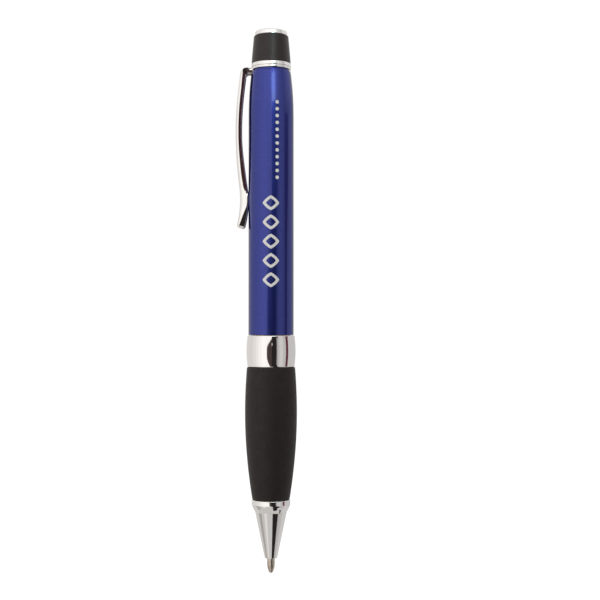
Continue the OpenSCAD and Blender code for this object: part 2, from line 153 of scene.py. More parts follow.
def chrome():
    """Mirror chrome with faint smears."""
    m = Nodes("chrome_plate", (0.87, 0.865, 0.855), metallic=1.0, roughness=0.06)
    m.roughness(m.noise(260, 6, 0.7), 0.035, 0.10)
    m.bump(m.noise(900, 2, 0.5, (1, 1, 14)), 0.012, 0.0001)
    return m.mat


def lacquer():
    """Metallic blue paint: flakes in a dark base under a clear coat."""
    m = Nodes("blue_lacquer", (0.02, 0.035, 0.22), metallic=0.85, roughness=0.29,
              Specular_Tint=(0.5, 0.48, 0.4, 1), Coat_Weight=0.85, Coat_Roughness=0.03, Coat_IOR=1.4)
    m.color(m.cells(9000), (0.040, 0.058, 0.345), (0.018, 0.028, 0.200))
    m.bump(m.noise(7000, 2), 0.10, 0.00004)
    m.bump(m.noise(130, 3), 0.03, 0.0001, onto="Coat Normal")
    return m.mat


def soft_rubber():
    """Matt rubber with a fine grain."""
    m = Nodes("soft_touch_rubber", (0.010, 0.009, 0.008), roughness=0.6, Sheen_Weight=0.05,
              Sheen_Roughness=0.4, Specular_IOR_Level=0.34)
    m.color(m.noise(420, 5), (0.0098, 0.0068, 0.0056), (0.0150, 0.0108, 0.0092))
    m.roughness(m.noise(1500, 4), 0.52, 0.68)
    m.bump(m.noise(5200, 4, 0.6), 0.30, 0.00003)
    return m.mat


def satin_black():
    """The end cap's plastic, a little glossier than the grip."""
    m = Nodes("satin_black_plastic", (0.012, 0.010, 0.009), roughness=0.36, Specular_IOR_Level=0.4)
    m.color(m.noise(300, 4), (0.0120, 0.0082, 0.0072), (0.0165, 0.0116, 0.0104))
    m.roughness(m.noise(2200, 4), 0.31, 0.42)
    m.bump(m.noise(6500, 3, 0.6), 0.18, 0.00002)
    return m.mat


def turned_metal(name, dark, light, lowest, highest, lines=2600):
    """Metal with the fine lines that a lathe leaves round it."""
    m = Nodes(name, light, metallic=1.0, roughness=highest)
    m.color(m.noise(500, 4), dark, light)
    m.roughness(m.noise(700, 4), lowest, highest)
    m.bump(m.noise(lines, 2, 0.5, (0.02, 0.02, 1)), 0.12, 0.00004)
    return m.mat


def moulded(name, dark, light, lowest=0.38, highest=0.52):
    """Moulded plastic or rubber with a slight unevenness."""
    m = Nodes(name, light, roughness=highest)
    m.color(m.noise(350, 4), dark, light)
    m.roughness(m.noise(1800, 3), lowest, highest)
    m.bump(m.noise(4200, 3), 0.15, 0.00003)
    return m.mat


def print_ink():
    """White pad print, a little uneven in cover."""
    m = Nodes("white_print", (0.78, 0.78, 0.77), roughness=0.42)
    m.color(m.noise(2500, 5), (0.70, 0.70, 0.69), (0.82, 0.82, 0.81))
    m.bump(m.noise(9000, 3), 0.2, 0.00001)
    return m.mat


def paste():
    """The refill's wet blue ink."""
    m = Nodes("ink_paste", (0.006, 0.01, 0.10), roughness=0.12, Coat_Weight=0.6)
    m.color(m.noise(600, 4), (0.004, 0.006, 0.07), (0.010, 0.016, 0.13))
    m.bump(m.noise(900, 3), 0.2, 0.00005)
    return m.mat


CHROME = chrome()
# The clip's inside gets a dark reddish metal: painted shade where the chrome sheet's inside lies in shadow, not
# the sheet's own colour.
CLIP_SHADE_METAL = turned_metal("clip_inside_painted_shade", (0.045, 0.020, 0.022), (0.080, 0.040, 0.043), 0.30, 0.42)
BRASS = turned_metal("turned_brass", (0.58, 0.43, 0.19), (0.74, 0.58, 0.30), 0.20, 0.34)
STEEL = turned_metal("bright_steel", (0.50, 0.51, 0.53), (0.66, 0.67, 0.69), 0.18, 0.32)
TIP_METAL = turned_metal("nickel_silver", (0.52, 0.45, 0.38), (0.66, 0.58, 0.50), 0.16, 0.28, 5200)
DARK_PLASTIC = moulded("dark_moulding", (0.035, 0.036, 0.040), (0.055, 0.056, 0.060))
ACETAL = moulded("white_acetal", (0.66, 0.65, 0.61), (0.76, 0.75, 0.71))
ORANGE = moulded("orange_acetal", (0.60, 0.25, 0.04), (0.72, 0.34, 0.07))
PLUG = moulded("plug_plastic", (0.76, 0.76, 0.73), (0.86, 0.86, 0.83))
SEAL = moulded("seal_rubber", (0.012, 0.012, 0.012), (0.022, 0.022, 0.022), 0.55, 0.7)
GREASE = moulded("clear_grease", (0.62, 0.58, 0.42), (0.74, 0.70, 0.54), 0.1, 0.2)
LACQUER = lacquer()
RUBBER = soft_rubber()
CAP_BLACK = satin_black()
PRINT = print_ink()
INK = paste()

INNER = {
    "lower_barrel": BRASS, "coupler": BRASS, "mech_housing": DARK_PLASTIC, "retaining_ring": STEEL,
    "friction_ring": SEAL, "barrel_bush": DARK_PLASTIC, "cam_sleeve": ACETAL,
    "top_bush": DARK_PLASTIC, "cap_screw": STEEL, "refill_tube": STEEL, "ink_column": INK,
    "grease_plug": GREASE, "refill_plug": PLUG, "follower": ORANGE, "cross_pin": STEEL,
}


def paint_inner_nodes():
    """Gives the CAD nodes that stay their own materials."""
    for node, mat in INNER.items():
        for slot in frame["nodes"][node].material_slots:
            slot.link = "OBJECT"
            slot.material = mat


# ------------------------------------------------------------------ outlines and meshes

FILLET_STEPS = 7
FILLET_SHARE = 0.48       # of a side, at most, that the fillet at one of its ends takes up
SUPPORT = 0.03            # how far outside a fillet its support points lie, at most


def rounded(corners):
    """Points of an outline [(r, z, fillet), ...], with each fillet drawn as an arc.
    A support point just outside each arc keeps the straight faces' shading flat."""
    points = []
    last = len(corners) - 1
    for i, (r, z, fillet) in enumerate(corners):
        here = Vector((r, z))
        if fillet <= 0 or i in (0, last):
            points.append((r, z))
            continue
        back = Vector(corners[i - 1][:2]) - here
        ahead = Vector(corners[i + 1][:2]) - here
        half = back.angle(ahead) / 2
        reach = min(fillet / math.tan(half), FILLET_SHARE * back.length, FILLET_SHARE * ahead.length)
        radius = reach * math.tan(half)
        back.normalize()
        ahead.normalize()
        centre = here + (back + ahead).normalized() * (radius / math.sin(half))
        start, end = here + back * reach - centre, here + ahead * reach - centre
        sweep = start.angle_signed(end)
        room = min(SUPPORT, 0.1 * reach + SUPPORT * 0.2)
        points.append(tuple(here + back * (reach + room)))
        for k in range(FILLET_STEPS + 1):
            arm = start.copy()
            arm.rotate(Matrix.Rotation(-sweep * k / FILLET_STEPS, 2))
            points.append(tuple(centre + arm))
        points.append(tuple(here + ahead * (reach + room)))
    return points


def ease(t):
    """0 below 0, 1 above 1 and smooth between."""
    t = max(0.0, min(1.0, t))
    return t * t * (3 - 2 * t)


def between(z0, z1, n, radius):
    """Outline points at n + 1 heights, with radius(z)."""
    return [(radius(z0 + (z1 - z0) * i / n), z0 + (z1 - z0) * i / n) for i in range(n + 1)]


def finish_mesh(mesh, name, mat, sharp=32):
    """Welds and shades a mesh, and makes it a piece. Edges over sharp degrees stay sharp."""
    bm = bmesh.new()
    bm.from_mesh(mesh)
    bmesh.ops.remove_doubles(bm, verts=bm.verts, dist=1e-8)
    bmesh.ops.recalc_face_normals(bm, faces=bm.faces)
    bm.to_mesh(mesh)
    bm.free()
    mesh.shade_smooth()
    mesh.set_sharp_from_angle(angle=math.radians(sharp))
    mesh.materials.append(mat)
    piece = bpy.data.objects.new(name, mesh)
    bpy.context.scene.collection.objects.link(piece)
    return piece


def lathe(name, outline, mat):
    """A turned piece from a closed outline of (r, z) points in mm. Points on the axis are welded."""
    n = len(outline)
    verts, faces = [], []
    for r, z in outline:
        for k in range(TURN_STEPS):
            a = 2 * math.pi * k / TURN_STEPS
            verts.append((r * MM * math.cos(a), r * MM * math.sin(a), z * MM))
    for i in range(n):
        j = (i + 1) % n
        if outline[i][0] < 1e-6 and outline[j][0] < 1e-6:
            continue
        for k in range(TURN_STEPS):
            m = (k + 1) % TURN_STEPS
            faces.append((i * TURN_STEPS + k, i * TURN_STEPS + m, j * TURN_STEPS + m, j * TURN_STEPS + k))
    mesh = bpy.data.meshes.new(name)
    mesh.from_pydata(verts, [], faces)
    return finish_mesh(mesh, name, mat)


def fit(piece, body, node):
    """The piece stands for one CAD node and moves with its body."""
    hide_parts(node)
    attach(piece, body)


# ------------------------------------------------------------------ lower section

NOSE_TIP_D = 3.2
CONE_TOP_D = 8.2
CONE_TOP_Z = 15.8
BEVEL_TOP_Z = 17.6
TIP_BORE_R = 1.15
SPRING_BORE_R = 2.25
SPRING_SEAT_Z = 9.65
SPIGOT_R, SPIGOT_BORE_R = 3.58, 3.2      # the cone's upper end, which goes up inside the grip
GRIP_BORE_R = 4.32
GRIP_WAIST_Z = 41.0
GRIP_LOW_D = 9.68
GRIP_HIGH_D = 12.44
GRIP_EDGE = 0.4
BAND_D = 12.68
BAND_BULGE_R = 28.0
BAND_BORE_R = 5.62


def nose_cone():
    """Cone, the groove above it, and the bevelled collar under the grip."""
    z0, z1 = low("nose_cone"), high("nose_cone")
    seat = low("grip_sleeve") - 0.1
    collar_r = width("nose_cone") / 2
    collar_z = CONE_TOP_Z + 0.05
    outline = rounded([
        (TIP_BORE_R, z0 + 1, 0), (TIP_BORE_R, z0, 0.08), (NOSE_TIP_D / 2, z0, 0.14),
        (CONE_TOP_D / 2, CONE_TOP_Z, 0.06), (CONE_TOP_D / 2 - 0.05, CONE_TOP_Z + 0.03, 0),
        (CONE_TOP_D / 2 + 0.03, collar_z, 0), (collar_r - 0.38, BEVEL_TOP_Z - 0.9, 4.0),
        (collar_r, BEVEL_TOP_Z, 1.3), (collar_r, seat, 0.2), (SPIGOT_R, seat, 0),
        (SPIGOT_R, z1, 0), (SPIGOT_BORE_R, z1, 0), (SPIGOT_BORE_R, 15.2, 0), (SPRING_BORE_R, 13.5, 0),
        (SPRING_BORE_R, SPRING_SEAT_Z, 0), (TIP_BORE_R, SPRING_SEAT_Z, 0),
    ])
    fit(lathe("nose_cone_shell", outline, CHROME), "grip_section", "nose_cone")


def grip_sleeve():
    """Bulging sleeve, fattest at its waist."""
    z0, z1 = low("grip_sleeve"), high("grip_sleeve")
    waist_r = width("grip_sleeve") / 2

    def radius(z):
        if z < GRIP_WAIST_Z:
            drop = (waist_r - GRIP_LOW_D / 2) * ((GRIP_WAIST_Z - z) / (GRIP_WAIST_Z - z0)) ** 1.9
        else:
            drop = (waist_r - GRIP_HIGH_D / 2) * ((z - GRIP_WAIST_Z) / (z1 - GRIP_WAIST_Z)) ** 2
        return waist_r - drop

    side = between(z0 + 0.5, z1 - 0.5, 90, radius)
    foot = rounded([(GRIP_BORE_R, z0, 0), (radius(z0), z0, GRIP_EDGE), (*side[0], 0)])
    head = rounded([(*side[-1], 0), (radius(z1), z1, GRIP_EDGE), (GRIP_BORE_R, z1, 0)])
    fit(lathe("rubber_grip", foot[:-1] + side + head[1:], RUBBER), "grip_section", "grip_sleeve")


def centre_band():
    """Slightly bulging ring at the turning joint."""
    z0, z1 = low("centre_band"), high("centre_band")
    mid = (z0 + z1) / 2

    def radius(z):
        return BAND_D / 2 - BAND_BULGE_R + math.sqrt(BAND_BULGE_R ** 2 - (z - mid) ** 2)

    side = between(z0 + 0.4, z1 - 0.4, 36, radius)
    foot = rounded([(BAND_BORE_R, z0, 0), (radius(z0), z0, 0.25), (*side[0], 0)])
    head = rounded([(*side[-1], 0), (radius(z1), z1, 0.25), (BAND_BORE_R, z1, 0)])
    fit(lathe("bulged_band", foot[:-1] + side + head[1:], CHROME), "grip_section", "centre_band")


# ------------------------------------------------------------------ upper section

TAPER_Z = 116.0
TAPER_DEPTH = 0.83
WALL = 0.5
GAP_H = 0.42              # the dark line under the lower ring
GAP_DEPTH = 0.34
NOTCH_ROOM = 0.06         # round the clip's root
RING_BORE_R = 3.51
CAP_TOP_D = 9.04
CLIP_W = 3.6


def barrel_radius(z):
    full = width("upper_barrel") / 2
    if z < TAPER_Z:
        return full
    return full - TAPER_DEPTH * ((z - TAPER_Z) / (high("upper_barrel") - TAPER_Z)) ** 2.5


def cut_box(piece, lowest, highest):
    """Cuts a box, given by two corners in mm, out of a piece."""
    bm = bmesh.new()
    bmesh.ops.create_cube(bm, size=1)
    for v in bm.verts:
        v.co = Vector([(a + b) / 2 + s * (b - a) for a, b, s in zip(lowest, highest, v.co)]) * MM
    mesh = bpy.data.meshes.new("cutter")
    bm.to_mesh(mesh)
    bm.free()
    cutter = bpy.data.objects.new("cutter", mesh)
    bpy.context.scene.collection.objects.link(cutter)
    change = piece.modifiers.new("notch", "BOOLEAN")
    change.object = cutter
    change.solver = "EXACT"
    bpy.context.view_layer.update()
    done = piece.evaluated_get(bpy.context.evaluated_depsgraph_get())
    new = bpy.data.meshes.new_from_object(done)
    piece.modifiers.clear()
    old, piece.data = piece.data, new
    bpy.data.meshes.remove(old)
    bpy.data.objects.remove(cutter)
    bpy.data.meshes.remove(mesh)


def upper_barrel():
    """Barrel with its taper, the gap under the rings and the notch for the clip's root."""
    z0, z1 = low("upper_barrel"), high("upper_barrel")
    full = width("upper_barrel") / 2
    foot = rounded([(full - WALL, z0, 0), (full, z0, 0.1), (full, z0 + 2, 0)])
    side = between(TAPER_Z, z1 - 1.1, 30, barrel_radius)
    top_r = barrel_radius(z1)
    lip_z = z1 - GAP_H
    head = rounded([(*side[-1], 0), (barrel_radius(lip_z), lip_z, 0.3), (top_r - GAP_DEPTH, lip_z, 0),
                    (top_r - GAP_DEPTH, z1, 0), (top_r - WALL, z1, 0)])
    inside = [(r - WALL, z) for r, z in reversed(side)]
    piece = lathe("lacquered_barrel", foot + side + head[1:] + inside, LACQUER)
    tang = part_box("clip_tang")
    cut_box(piece, (-10, tang[0].y / MM - NOTCH_ROOM, tang[0].z / MM - NOTCH_ROOM),
            (-3, tang[1].y / MM + NOTCH_ROOM, z1 + 5))
    fit(piece, "upper_section", "upper_barrel")


def rings():
    """The thin ring over the clip's root and the wider, stepped one over it."""
    z0, z1 = low("clip_ring"), high("clip_ring")
    r = width("clip_ring") / 2
    thin = rounded([(RING_BORE_R, z0, 0), (r, z0, 0.14), (r, z1, 0.14), (RING_BORE_R, z1, 0)])
    fit(lathe("clip_washer", thin, CHROME), "upper_section", "clip_ring")
    z0, z1 = low("cap_ring"), high("cap_ring")
    wide = rounded([
        (RING_BORE_R, z0, 0), (r - 0.22, z0, 0.03), (r - 0.22, z0 + 0.1, 0.03), (r, z0 + 0.1, 0.16),
        (r, z1, 0.22), (RING_BORE_R, z1, 0),
    ])
    fit(lathe("cap_collar", wide, CHROME), "upper_section", "cap_ring")


def end_cap():
    """Tapered cap with a recess for the finial above and room for its screw below."""
    z0, z1 = low("end_cap"), high("end_cap")
    foot_r = width("end_cap") / 2
    top_r = CAP_TOP_D / 2
    outline = rounded([
        (3.5, z0, 0), (foot_r, z0, 0.1), (foot_r - 0.09, z0 + 1.6, 1.0), (top_r, z1 - 0.5, 0.1),
        (top_r - 0.02, z1, 0.5), (3.1, z1, 0.1), (3.1, z1 - 2.7, 0), (1.6, z1 - 2.7, 0),
        (1.6, z0 + 2.6, 0), (3.5, z0 + 2.6, 0),
    ])
    fit(lathe("tapered_cap", outline, CAP_BLACK), "upper_section", "end_cap")


def finial():
    """Flat disc on a plug that fills the cap's recess."""
    z0, z1 = low("finial_disc"), high("finial_disc")
    r, plug_r = width("finial_disc") / 2, 3.08
    rim = z1 - 1.2
    outline = rounded([
        (0, z0, 0), (plug_r, z0, 0.05), (plug_r, rim, 0), (r - 0.1, rim, 0.05), (r, rim + 0.1, 0.05),
        (r, z1, 0.38), (0, z1, 0),
    ])
    fit(lathe("finial_button", outline, CHROME), "upper_section", "finial_disc")


# ------------------------------------------------------------------ clip

CLIP_H = 1.62             # depth of the folded section along the arm
CLIP_FOOT_H = 2.05        # and at the foot
CLIP_T = 0.5              # thickness of the sheet
CLIP_REACH = 9.2          # the crest's distance from the pen's axis
CREST_Z = 114.0
TILT = math.radians(6.9)  # the arm leans this far either way at its ends
UPPER_R, LOWER_R, FOOT_R = 87.0, 108.0, 27.0    # radii of the arm above and below the crest, and of the foot
BEND_R = CLIP_H + 0.03    # outside of the bend at the root
FILLET_R = 0.85           # and inside
LOW_RUN = 1.5             # straight stretch between the arm and the foot
FOOT_END = math.radians(15.2)
DOWN = math.radians(270)
RING_X = -4.7             # the root's full section ends here, inside the rings
TANG_IN_X = -3.4          # and the tang here
END_R = 0.75              # rounding of the foot's end, in the thickness
END_CORNER_R = 0.8        # and seen from the front
# Share of the depth that the rounded outer edge takes up, by height
SHARES = [(127.1, 0.5), (102.8, 0.47), (100.6, 0.5), (99.5, 0.58), (98.4, 0.76), (97.9, 0.95), (97.5, 1.1),
          (97.2, 0.86), (94.9, 0.82), (94.2, 0.74), (93.2, 0.60), (92.1, 0.47), (91.1, 0.40), (90.0, 0.32),
          (89.3, 0.25)]


def inward(heading):
    """Direction from the outer face to the barrel, for a sweep that runs along heading."""
    return Vector((-math.sin(heading), math.cos(heading)))


def clip_stages(top_z, tang_top):
    """Stages of the clip's sweep: (outer-line point, heading, depth, distance to the foot's end)."""
    w = CLIP_W / 2
    stages = []

    def arc(centre, radius, h0, h1, n, d0, d1):
        for i in range(n + 1):
            h = h0 + (h1 - h0) * i / n
            stages.append((centre - radius * inward(h), h, d0 + (d1 - d0) * ease(i / n), w))

    arm_top = Vector((-CLIP_REACH + UPPER_R * (1 - math.cos(TILT)), CREST_Z + UPPER_R * math.sin(TILT)))
    arm_low = Vector((-CLIP_REACH + LOWER_R * (1 - math.cos(TILT)), CREST_Z - LOWER_R * math.sin(TILT)))
    bend_z = top_z - BEND_R
    rise = (bend_z + BEND_R * math.sin(TILT) - arm_top.y) / math.cos(TILT)
    bend = Vector((arm_top.x + rise * math.sin(TILT) + BEND_R * math.cos(TILT), bend_z))
    lean = inward(DOWN - TILT)
    fillet = bend + (CLIP_H - BEND_R + FILLET_R) * lean
    along = Vector((math.cos(DOWN - TILT), math.sin(DOWN - TILT)))
    fillet += (top_z - CLIP_H - FILLET_R - fillet.y) / along.y * along
    foot_c = (arm_low + LOW_RUN * Vector((math.sin(TILT), -math.cos(TILT)))
              + FOOT_R * Vector((-math.cos(TILT), -math.sin(TILT))))
    round_h = DOWN - FOOT_END + w / FOOT_R

    for x in (TANG_IN_X, RING_X + 0.01):
        stages.append((Vector((x, tang_top)), math.pi, CLIP_H - (top_z - tang_top), w))
    for i in range(7):
        x = RING_X + (bend.x + 0.05 - RING_X) * i / 6
        stages.append((Vector((x, top_z)), math.pi, CLIP_H, w))
    for i in range(17):                             # the outside turns about bend, the inside about fillet
        h = math.pi + (DOWN - TILT - math.pi) * i / 16
        outside = bend - BEND_R * inward(h)
        across = fillet - FILLET_R * inward(h) - outside
        stages.append((outside, math.atan2(-across.x, across.y), across.length, w))
    arc(Vector((-CLIP_REACH + UPPER_R, CREST_Z)), UPPER_R, DOWN - TILT, DOWN, 24, CLIP_H, CLIP_H)
    arc(Vector((-CLIP_REACH + LOWER_R, CREST_Z)), LOWER_R, DOWN + TILT / 24, DOWN + TILT, 40,
        CLIP_H, CLIP_FOOT_H)
    arc(foot_c, -FOOT_R, DOWN + TILT, round_h, 40, CLIP_FOOT_H, CLIP_FOOT_H)
    for i in range(1, 19):
        left = w * (1 - math.sin(math.radians(4.95 * i)))
        h = round_h - (w - left) / FOOT_R
        stages.append((foot_c + FOOT_R * inward(h), h, CLIP_FOOT_H, left))
    return stages


def round_share(x, z):
    """Share of the clip's depth that its rounded outer edge takes up: about half along the arm, all of it
    where the clip rests on the barrel, and less towards the foot's end and over the bend at the root."""
    if z > 127:
        over_bend = ease((x + 8.3) / 1.1) - ease((x + 6.1) / 0.7)
        return 0.5 - 0.4 * over_bend
    for (z0, share0), (z1, share1) in zip(SHARES, SHARES[1:]):
        if z >= z1:
            return share1 + (share0 - share1) * (z - z1) / (z0 - z1)
    return SHARES[-1][1]


def draft(z):
    """How far the side walls lean in, as a slope."""
    return math.tan(math.radians(13.5 + 2.5 * ease((z - 95) / 3)))


def snug(z):
    """Extra depth of the lips that brings them down to the barrel where the clip rests on it."""
    return 0.17 * ease((101 - z) / 4) + 0.08 * math.exp(-((z - 96) / 2) ** 2)


INSIDE_FROM = 23          # where the outline that channel draws passes from the lip to the inside


def channel(depth, left, share, lean, hollow):
    """Closed outline [(depth, y)] of the folded sheet: crowned outside, rounded edges, side walls that
    lean in, and inside. hollow goes from 0, solid, to 1, a full channel."""
    full = CLIP_W / 2
    lift = END_R - math.sqrt(max(0, END_R ** 2 - (END_R - left) ** 2)) if left < END_R else 0
    past = max(0.0, END_CORNER_R - left)
    w = full - END_CORNER_R + math.sqrt(max(1e-4, END_CORNER_R ** 2 - past ** 2))
    top, foot = lift, depth - lift
    span = foot - top
    w += lean * span * (0.5 - min(share, 0.94))     # keeps the side wall in one plane where the share changes
    reach_u, reach_y = share * span, min(1.1, 0.8 * w)
    crown = 0.08 * w / full
    right = []
    for i in range(5):                              # outer face, from the middle outwards
        y = (w - reach_y) * i / 4
        right.append((top + crown * (y / w) ** 2, y))
    start = right[-1][0]
    lip = 0.06 * span
    room = (foot - lip - start) / max(1e-6, reach_u - (start - top))
    last = math.acos(max(0.0, 1 - room)) if room < 1 else math.pi / 2
    for i in range(1, 15):                          # rounded edge
        a = last * i / 14
        right.append((start + (reach_u - (start - top)) * (1 - math.cos(a)), w - reach_y + reach_y * math.sin(a)))
    u, y = right[-1]
    low_u = max(u + 1e-4, foot - lip)
    side = max(0.3 * y, y - lean * (low_u - u))
    for part in (0.06, 0.94, 1):                    # side wall
        right.append((u + part * (low_u - u), y + part * (side - y)))
    right.append((foot - 0.2 * lip, side - 0.5 * lip))
    right.append((foot, side - lip))
    inner_w = max(0.3 * side, side - CLIP_T)
    deep = foot - hollow * (span - CLIP_T) - 0.003
    ic = min(0.55, 0.8 * inner_w, 0.9 * (foot - deep))
    right.append((foot, inner_w + 0.03 * hollow))
    right.append((foot - 0.03 * hollow - 0.001, inner_w))
    for i in range(7):
        a = math.radians(15 * i)
        right.append((deep + ic * (1 - math.sin(a)), inner_w - ic * (1 - math.cos(a))))
    for i in range(1, 4):
        right.append((deep, (inner_w - ic) * (1 - i / 4)))
    mirrored = [(u, -y) for u, y in reversed(right[1:])]
    return right + [(deep, 0)] + mirrored


def clip():
    """One folded sheet from the tang in the barrel's top to the foot, blended over the hinge at the root."""
    stages = clip_stages(high("clip"), high("clip_tang"))
    verts, faces, inside = [], [], []
    n = 0
    for point, heading, depth, left in stages:
        past_bend = (CREST_Z + 12.5 - point.y) / 3.0
        before_end = (left - 0.2) / 1.0 if left < CLIP_W / 2 else 1.0
        to_foot = (point.y - 90.8) / 2.0
        hollow = ease(min(past_bend, before_end, to_foot))
        ring = channel(depth + snug(point.y), left, round_share(point.x, point.y), draft(point.y), hollow)
        n = len(ring)
        for u, y in ring:
            p = point + u * inward(heading)
            verts.append((p.x * MM, y * MM, p.y * MM))
    count = len(stages)
    for k in range(count - 1):
        for j in range(n):
            m = (j + 1) % n
            faces.append((k * n + j, k * n + m, (k + 1) * n + m, (k + 1) * n + j))
            inside.append(INSIDE_FROM <= j < n - INSIDE_FROM)
    faces.append(tuple(range(n)))
    faces.append(tuple((count - 1) * n + j for j in reversed(range(n))))
    mesh = bpy.data.meshes.new("spring_clip")
    mesh.from_pydata(verts, [], faces)
    # Faces on the channel's inside take the second material, the dark metal that paints in the shade there.
    mesh.polygons.foreach_set("material_index", inside + [0, 0])
    piece = finish_mesh(mesh, "spring_clip", CHROME, 40)
    mesh.materials.append(CLIP_SHADE_METAL)
    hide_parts("clip", "clip_tang")
    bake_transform(piece)


# ------------------------------------------------------------------ refill tip and ball

BALL_STEPS = 40


def refill_tip():
    """Turned point with the socket that holds the ball."""
    z1 = high("refill_tip")
    outline = rounded([
        (0.25, 0.98, 0), (0.5, 0.62, 0), (0.515, 0.5, 0), (0.5, 0.36, 0.02), (0.6, 0.36, 0.06), (0.7, 0.85, 0.1),
        (0.84, 1.15, 0.1), (0.99, 2.0, 0.6), (1.0, 4.3, 0.4), (1.05, 4.9, 0.3), (1.05, 9.7, 0),
        (0.93, 9.7, 0), (0.93, z1, 0), (0.25, z1, 0),
    ])
    fit(lathe("tip_point", outline, TIP_METAL), "refill", "refill_tip")


def ball():
    lowest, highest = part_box("ball")
    r = (highest.z - lowest.z) / 2 / MM
    outline = [(r * math.sin(math.pi * i / BALL_STEPS), lowest.z / MM + r - r * math.cos(math.pi * i / BALL_STEPS))
               for i in range(BALL_STEPS + 1)]
    outline[0], outline[-1] = (0, outline[0][1]), (0, outline[-1][1])
    fit(lathe("tungsten_ball", outline, STEEL), "writing_ball", "ball")


# ------------------------------------------------------------------ return spring

WIRE_D = 0.4
COIL_R = 1.9
SPRING_TURNS = 9


def return_spring():
    """A helix with closed end coils, baked in place. Its foot rests in the cone and its top against the refill."""
    z0, z1 = low("return_spring") + WIRE_D / 2, high("return_spring") - WIRE_D / 2
    closed = WIRE_D * 1.1
    sides, per_turn = 12, 40

    def height(turn):
        if turn < 1:
            return z0 + closed * turn
        if turn > SPRING_TURNS - 1:
            return z1 - closed * (SPRING_TURNS - turn)
        return z0 + closed + (z1 - z0 - 2 * closed) * (turn - 1) / (SPRING_TURNS - 2)

    rings = SPRING_TURNS * per_turn
    verts, faces = [], []
    for i in range(rings + 1):
        a = 2 * math.pi * i / per_turn
        for j in range(sides):
            b = 2 * math.pi * j / sides
            r = COIL_R + WIRE_D / 2 * math.cos(b)
            z = height(i / per_turn) + WIRE_D / 2 * math.sin(b)
            verts.append((r * MM * math.cos(a), r * MM * math.sin(a), z * MM))
    for i in range(rings):
        for j in range(sides):
            k = (j + 1) % sides
            faces.append((i * sides + j, (i + 1) * sides + j, (i + 1) * sides + k, i * sides + k))
    faces.append(tuple(range(sides)))
    faces.append(tuple(rings * sides + j for j in reversed(range(sides))))
    mesh = bpy.data.meshes.new("coiled_spring")
    mesh.from_pydata(verts, [], faces)
    piece = finish_mesh(mesh, "coiled_spring", STEEL)
    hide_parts("return_spring")
    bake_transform(piece)


# ------------------------------------------------------------------ pad print

PRINT_T = 0.02
LOZENGES, LOZENGE_FROM, LOZENGE_PITCH = 5, 75.4, 4.9
DOTS, DOT_FROM, DOT_PITCH = 12, 101.5, 1.75


def on_barrel(name, outlines):
    """Thin white shapes printed on the barrel. An outline is an outer and an inner loop of (y, z) in mm,
    y along the barrel's girth to the right and z up; an inner loop of None fills the shape."""
    r = width("upper_barrel") / 2
    verts, faces = [], []

    def add(point, radius):
        a = point[0] / r
        verts.append((radius * MM * math.sin(a), -radius * MM * math.cos(a), point[1] * MM))

    for outer, inner in outlines:
        n = len(outer)
        inside = inner or [(sum(p[0] for p in outer) / n, sum(p[1] for p in outer) / n)] * n
        base = len(verts)
        for radius in (r - 0.01, r + PRINT_T):
            for loop in (outer, inside):
                for point in loop:
                    add(point, radius)
        for i in range(n):
            j = (i + 1) % n
            under, under_in, over, over_in = (base + k * n for k in range(4))
            faces.append((over + i, over + j, over_in + j, over_in + i))
            faces.append((under + i, under_in + i, under_in + j, under + j))
            faces.append((under + i, under + j, over + j, over + i))
            if inner:
                faces.append((over_in + i, over_in + j, under_in + j, under_in + i))
    mesh = bpy.data.meshes.new(name)
    mesh.from_pydata(verts, [], faces)
    piece = finish_mesh(mesh, name, PRINT)
    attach(piece, "upper_section")


def loop_of(centre, corner_power, half_w, half_h, n=48):
    """A closed loop between a lozenge (corner_power 1) and an ellipse (2)."""
    points = []
    for i in range(n):
        a = 2 * math.pi * i / n
        c, s = math.cos(a), math.sin(a)
        k = (abs(c) ** corner_power + abs(s) ** corner_power) ** (-1 / corner_power)
        points.append((centre[0] + half_w * k * c, centre[1] + half_h * k * s))
    return points


def pad_print():
    """A plain row of lozenges with a row of dots above it."""
    lozenges, dots = [], []
    for i in range(LOZENGES):
        centre = (0.1, LOZENGE_FROM + LOZENGE_PITCH * i)
        lozenges.append((loop_of(centre, 1.25, 2.15, 1.9), loop_of(centre, 1.25, 1.25, 1.1)))
    for i in range(DOTS):
        dots.append((loop_of((1.7, DOT_FROM + DOT_PITCH * i), 2, 0.45, 0.45, 24), None))
    on_barrel("lozenge_row", lozenges)
    on_barrel("dot_row", dots)


# ------------------------------------------------------------------ studio

PANEL_R = 0.28
CARD_R = 0.27
PANEL_TOP = 0.45
PANEL_SEAM = -0.06
PANEL_FOOT = -0.25
CARD_TOP = 0.178
RINGS_FROM = 0.187        # the rings and everything above them reflect the panels from here up
TOP_LIGHT_TOP = 0.26
FRONT_RIGHT = 28          # panels up to this azimuth have the warm colour
# Azimuth in degrees where each panel ends and its strength. The row starts behind the pen, at -180.
UPPER_PANELS = [(-115, 0.76), (-95, 0.76), (-75, 0.84), (-60, 0.94), (-45, 1.05), (-22, 1.14), (28, 1.10),
                (35, 0.42), (42, 0.57), (60, 0.66), (85, 0.54), (180, 0.60)]
TOP_PANELS = [(-120, 0.76), (-100, 0.92), (-80, 0.88), (-60, 1.0), (-38, 1.1), (8, 1.25), (26, 1.6),
              (32, 1.25), (38, 1.08), (45, 0.90), (62, 0.72), (85, 0.58), (180, 0.8)]
LOWER_PANELS = [(-105, 0.68), (-75, 0.42), (-52, 0.62), (-32, 0.82), (44, 0.62), (68, 0.45), (95, 0.53),
                (180, 0.64)]
WARM, NEUTRAL, WHITE = (1, 0.955, 0.925), (1, 0.975, 0.96), (1, 1, 1)
BROWN, NEAR_BLACK, DARK_RED, RED = (1, 0.70, 0.66), (1, 0.85, 0.8), (1, 0.55, 0.55), (1, 0.3, 0.42)
MAROON, DUSKY_RED, COLD = (1, 0.42, 0.48), (1, 0.66, 0.74), (0.8, 1, 1)
BLACK = 0.014             # strength of the darkest cards
FLOOR_Z = -0.26
FLOOR_GLOW = 0.7
